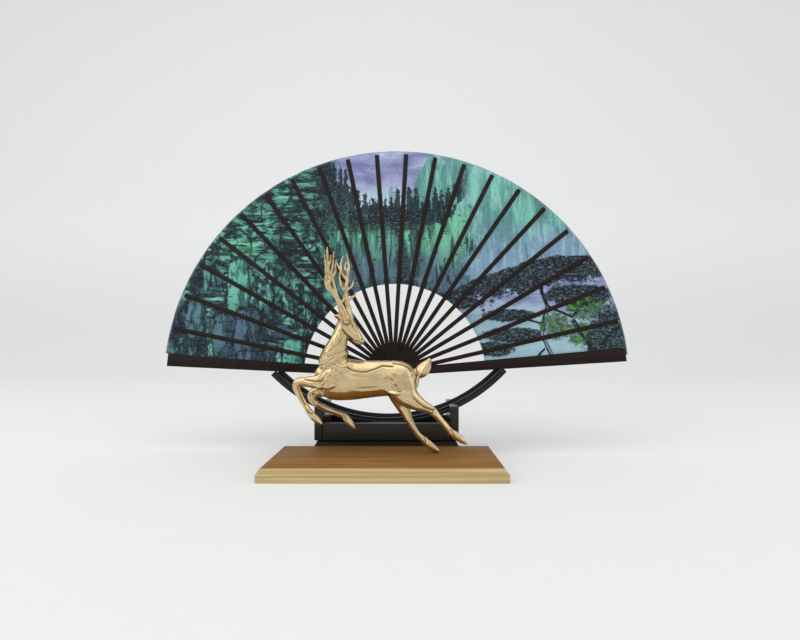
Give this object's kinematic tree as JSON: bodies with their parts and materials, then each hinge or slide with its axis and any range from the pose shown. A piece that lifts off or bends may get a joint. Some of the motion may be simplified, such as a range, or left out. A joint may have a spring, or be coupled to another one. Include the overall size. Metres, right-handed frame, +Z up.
{
  "type": "folding fan on a display stand",
  "caption": "Open folding fan with a painted leaf resting in a curved cradle stand behind a wooden board that carries a leaping golden stag; the fan lifts off and folds shut.",
  "frame": {"origin": "centre of the board's underside, on the surface it stands on", "axes": "+X to the right across the open fan, +Y to the back, +Z up"},
  "size_m": [0.5981, 0.2223, 0.3969],
  "materials": {
    "board_wood": "satin",
    "black_lacquer": "satin lacquer",
    "stained_wood": "satin",
    "painted_leaf": "matt print",
    "champagne_gold": "polished",
    "plain_steel": "satin",
    "plain_dowel": "raw"
  },
  "bodies": {
    "stand": {"base_board": "board_wood", "stand_foot": "black_lacquer", "front_rail": "black_lacquer", "rear_rail": "black_lacquer", "left_end_plate": "black_lacquer", "right_end_plate": "black_lacquer", "cradle_floor": "black_lacquer", "cradle_front_lip": "black_lacquer", "cradle_rear_lip": "black_lacquer", "stag_body": "champagne_gold", "near_antler": "champagne_gold", "far_antler": "champagne_gold", "hoof_stud": "plain_steel", "left_dowel": "plain_dowel", "right_dowel": "plain_dowel"},
    "fan_core": {"rib_10": "stained_wood", "leaf_panel_11": "painted_leaf", "rivet": "plain_steel", "rivet_washer": "plain_steel"},
    "rib_01_body": {"rib_01": "stained_wood", "leaf_panel_02": "painted_leaf"},
    "rib_02_body": {"rib_02": "stained_wood", "leaf_panel_03": "painted_leaf"},
    "rib_03_body": {"rib_03": "stained_wood", "leaf_panel_04": "painted_leaf"},
    "rib_04_body": {"rib_04": "stained_wood", "leaf_panel_05": "painted_leaf"},
    "rib_05_body": {"rib_05": "stained_wood", "leaf_panel_06": "painted_leaf"},
    "rib_06_body": {"rib_06": "stained_wood", "leaf_panel_07": "painted_leaf"},
    "rib_07_body": {"rib_07": "stained_wood", "leaf_panel_08": "painted_leaf"},
    "rib_08_body": {"rib_08": "stained_wood", "leaf_panel_09": "painted_leaf"},
    "rib_09_body": {"rib_09": "stained_wood", "leaf_panel_10": "painted_leaf"},
    "rib_11_body": {"rib_11": "stained_wood", "leaf_panel_12": "painted_leaf"},
    "rib_12_body": {"rib_12": "stained_wood", "leaf_panel_13": "painted_leaf"},
    "rib_13_body": {"rib_13": "stained_wood", "leaf_panel_14": "painted_leaf"},
    "rib_14_body": {"rib_14": "stained_wood", "leaf_panel_15": "painted_leaf"},
    "rib_15_body": {"rib_15": "stained_wood", "leaf_panel_16": "painted_leaf"},
    "rib_16_body": {"rib_16": "stained_wood", "leaf_panel_17": "painted_leaf"},
    "rib_17_body": {"rib_17": "stained_wood", "leaf_panel_18": "painted_leaf"},
    "rib_18_body": {"rib_18": "stained_wood", "leaf_panel_19": "painted_leaf"},
    "rib_19_body": {"rib_19": "stained_wood", "leaf_panel_20": "painted_leaf"},
    "rib_20_body": {"rib_20": "stained_wood", "leaf_panel_21": "painted_leaf"},
    "guard_left_body": {"guard_left": "stained_wood", "leaf_panel_01": "painted_leaf"},
    "guard_right_body": {"guard_right": "stained_wood"}
  },
  "joints": [
    {"name": "fan_lift", "type": "slide", "parent": "stand", "child": "fan_core", "axis": [0, 0, 1], "range_m": [0, 0.08]},
    {"name": "fold_11", "type": "hinge", "parent": "fan_core", "child": "rib_11_body", "pos_m": [0.0076, 0.1113, 0.0995], "axis": [0, -0.9919, 0.1271], "range_deg": [0, 7.68]},
    {"name": "fold_12", "type": "hinge", "parent": "rib_11_body", "child": "rib_12_body", "pos_m": [0.0076, 0.1113, 0.0995], "axis": [0, -0.9919, 0.1271], "range_deg": [0, 7.7]},
    {"name": "fold_13", "type": "hinge", "parent": "rib_12_body", "child": "rib_13_body", "pos_m": [0.0076, 0.1113, 0.0995], "axis": [0, -0.9919, 0.1271], "range_deg": [0, 7.75]},
    {"name": "fold_14", "type": "hinge", "parent": "rib_13_body", "child": "rib_14_body", "pos_m": [0.0076, 0.1113, 0.0995], "axis": [0, -0.9919, 0.1271], "range_deg": [0, 7.83]},
    {"name": "fold_15", "type": "hinge", "parent": "rib_14_body", "child": "rib_15_body", "pos_m": [0.0076, 0.1113, 0.0995], "axis": [0, -0.9919, 0.1271], "range_deg": [0, 7.95]},
    {"name": "fold_16", "type": "hinge", "parent": "rib_15_body", "child": "rib_16_body", "pos_m": [0.0076, 0.1113, 0.0995], "axis": [0, -0.9919, 0.1271], "range_deg": [0, 8.1]},
    {"name": "fold_17", "type": "hinge", "parent": "rib_16_body", "child": "rib_17_body", "pos_m": [0.0076, 0.1113, 0.0995], "axis": [0, -0.9919, 0.1271], "range_deg": [0, 8.28]},
    {"name": "fold_18", "type": "hinge", "parent": "rib_17_body", "child": "rib_18_body", "pos_m": [0.0076, 0.1113, 0.0995], "axis": [0, -0.9919, 0.1271], "range_deg": [0, 8.49]},
    {"name": "fold_19", "type": "hinge", "parent": "rib_18_body", "child": "rib_19_body", "pos_m": [0.0076, 0.1113, 0.0995], "axis": [0, -0.9919, 0.1271], "range_deg": [0, 8.74]},
    {"name": "fold_20", "type": "hinge", "parent": "rib_19_body", "child": "rib_20_body", "pos_m": [0.0076, 0.1113, 0.0995], "axis": [0, -0.9919, 0.1271], "range_deg": [0, 9.03]},
    {"name": "fold_guard_right", "type": "hinge", "parent": "rib_20_body", "child": "guard_right_body", "pos_m": [0.0076, 0.1113, 0.0995], "axis": [0, -0.9919, 0.1271], "range_deg": [0, 8.6]},
    {"name": "fold_09", "type": "hinge", "parent": "fan_core", "child": "rib_09_body", "pos_m": [0.0076, 0.1113, 0.0995], "axis": [0, -0.9919, 0.1271], "range_deg": [-7.7, 0]},
    {"name": "fold_08", "type": "hinge", "parent": "rib_09_body", "child": "rib_08_body", "pos_m": [0.0076, 0.1113, 0.0995], "axis": [0, -0.9919, 0.1271], "range_deg": [-7.75, 0]},
    {"name": "fold_07", "type": "hinge", "parent": "rib_08_body", "child": "rib_07_body", "pos_m": [0.0076, 0.1113, 0.0995], "axis": [0, -0.9919, 0.1271], "range_deg": [-7.83, 0]},
    {"name": "fold_06", "type": "hinge", "parent": "rib_07_body", "child": "rib_06_body", "pos_m": [0.0076, 0.1113, 0.0995], "axis": [0, -0.9919, 0.1271], "range_deg": [-7.95, 0]},
    {"name": "fold_05", "type": "hinge", "parent": "rib_06_body", "child": "rib_05_body", "pos_m": [0.0076, 0.1113, 0.0995], "axis": [0, -0.9919, 0.1271], "range_deg": [-8.1, 0]},
    {"name": "fold_04", "type": "hinge", "parent": "rib_05_body", "child": "rib_04_body", "pos_m": [0.0076, 0.1113, 0.0995], "axis": [0, -0.9919, 0.1271], "range_deg": [-8.28, 0]},
    {"name": "fold_03", "type": "hinge", "parent": "rib_04_body", "child": "rib_03_body", "pos_m": [0.0076, 0.1113, 0.0995], "axis": [0, -0.9919, 0.1271], "range_deg": [-8.49, 0]},
    {"name": "fold_02", "type": "hinge", "parent": "rib_03_body", "child": "rib_02_body", "pos_m": [0.0076, 0.1113, 0.0995], "axis": [0, -0.9919, 0.1271], "range_deg": [-8.74, 0]},
    {"name": "fold_01", "type": "hinge", "parent": "rib_02_body", "child": "rib_01_body", "pos_m": [0.0076, 0.1113, 0.0995], "axis": [0, -0.9919, 0.1271], "range_deg": [-9.03, 0]},
    {"name": "fold_guard_left", "type": "hinge", "parent": "rib_01_body", "child": "guard_left_body", "pos_m": [0.0076, 0.1113, 0.0995], "axis": [0, -0.9919, 0.1271], "range_deg": [-8, 0]}
  ],
  "couplings": [
    {"joint": "fold_12", "follows": "fold_11", "ratio": 1.0022},
    {"joint": "fold_13", "follows": "fold_11", "ratio": 1.0086},
    {"joint": "fold_14", "follows": "fold_11", "ratio": 1.0194},
    {"joint": "fold_15", "follows": "fold_11", "ratio": 1.0346},
    {"joint": "fold_16", "follows": "fold_11", "ratio": 1.054},
    {"joint": "fold_17", "follows": "fold_11", "ratio": 1.0777},
    {"joint": "fold_18", "follows": "fold_11", "ratio": 1.1058},
    {"joint": "fold_19", "follows": "fold_11", "ratio": 1.1382},
    {"joint": "fold_20", "follows": "fold_11", "ratio": 1.1749},
    {"joint": "fold_guard_right", "follows": "fold_11", "ratio": 1.1196},
    {"joint": "fold_09", "follows": "fold_11", "ratio": -1.0022},
    {"joint": "fold_08", "follows": "fold_11", "ratio": -1.0086},
    {"joint": "fold_07", "follows": "fold_11", "ratio": -1.0194},
    {"joint": "fold_06", "follows": "fold_11", "ratio": -1.0346},
    {"joint": "fold_05", "follows": "fold_11", "ratio": -1.054},
    {"joint": "fold_04", "follows": "fold_11", "ratio": -1.0777},
    {"joint": "fold_03", "follows": "fold_11", "ratio": -1.1058},
    {"joint": "fold_02", "follows": "fold_11", "ratio": -1.1382},
    {"joint": "fold_01", "follows": "fold_11", "ratio": -1.1749},
    {"joint": "fold_guard_left", "follows": "fold_11", "ratio": -1.0415}
  ]
}
